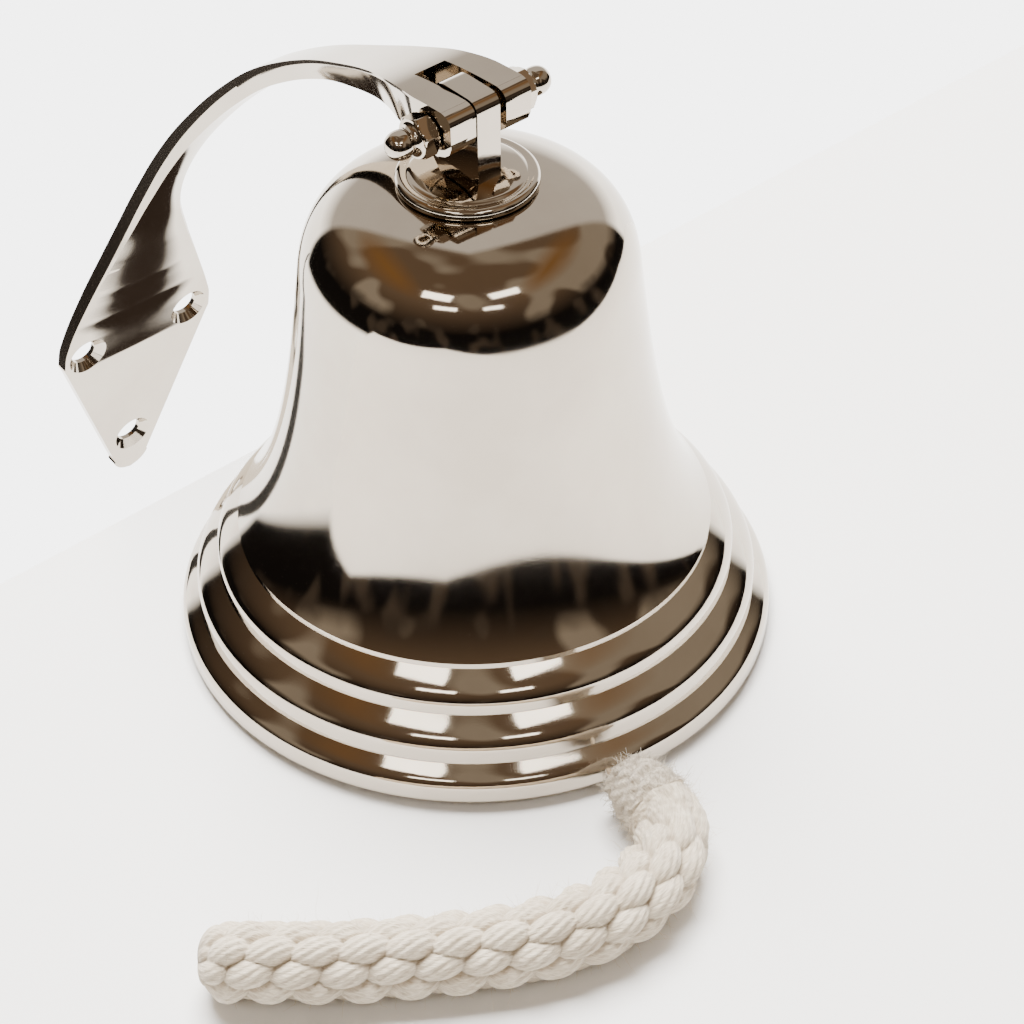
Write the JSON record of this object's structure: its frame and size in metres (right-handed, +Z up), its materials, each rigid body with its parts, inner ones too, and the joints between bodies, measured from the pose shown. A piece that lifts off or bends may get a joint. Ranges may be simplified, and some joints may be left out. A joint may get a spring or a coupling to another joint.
{
  "type": "ship bell",
  "caption": "Small polished ship bell pivoted on a curved gooseneck bracket with a wall plate, with a hanging clapper and a short plaited lanyard.",
  "frame": {"origin": "middle of the wall plate's back face, where it is screwed to the wall", "axes": "+Z up along the bell's axis, +X along the pivot stud, +Y from the bell towards the wall plate"},
  "size_m": [0.1771, 0.2411, 0.1782],
  "materials": {
    "polished_nickel": "polished nickel plate on cast brass, mirror bright and slightly warm",
    "brass": "plain turned brass",
    "cotton_cord": "plaited off-white cotton line",
    "whipping_twine": "frayed grey-beige twine"
  },
  "bodies": {
    "bell": {"bell_body": "polished_nickel", "hanger": "polished_nickel", "eyebolt": "brass", "crown_washer": "brass", "crown_nut": "brass", "lead_cord": "cotton_cord", "lead_knot": "cotton_cord", "lanyard_whipping": "whipping_twine", "lanyard": "cotton_cord", "lanyard_end_knot": "cotton_cord"},
    "bracket": {"wall_bracket": "polished_nickel", "pivot_stud": "polished_nickel", "cap_nut_left": "polished_nickel", "cap_nut_right": "polished_nickel"},
    "link": {"clapper_link": "brass"},
    "clapper": {"clapper_rod": "brass", "clapper_ball": "brass", "lanyard_ring": "brass"}
  },
  "joints": [
    {"name": "bracket_hinge", "type": "hinge", "parent": "bell", "child": "bracket", "pos_m": [0, -0.13439, 0.1417], "axis": [1, 0, 0], "range_deg": [-20, 212]},
    {"name": "link_swing", "type": "hinge", "parent": "bell", "child": "link", "pos_m": [0, -0.13439, 0.1063], "axis": [1, 0, 0], "range_deg": [-19, 19], "deforming": ["lead_cord", "lead_knot"]},
    {"name": "clapper_swing", "type": "hinge", "parent": "link", "child": "clapper", "pos_m": [0, -0.13439, 0.1], "axis": [0, 1, 0], "range_deg": [-20, 20], "deforming": ["lead_cord", "lead_knot"]}
  ]
}
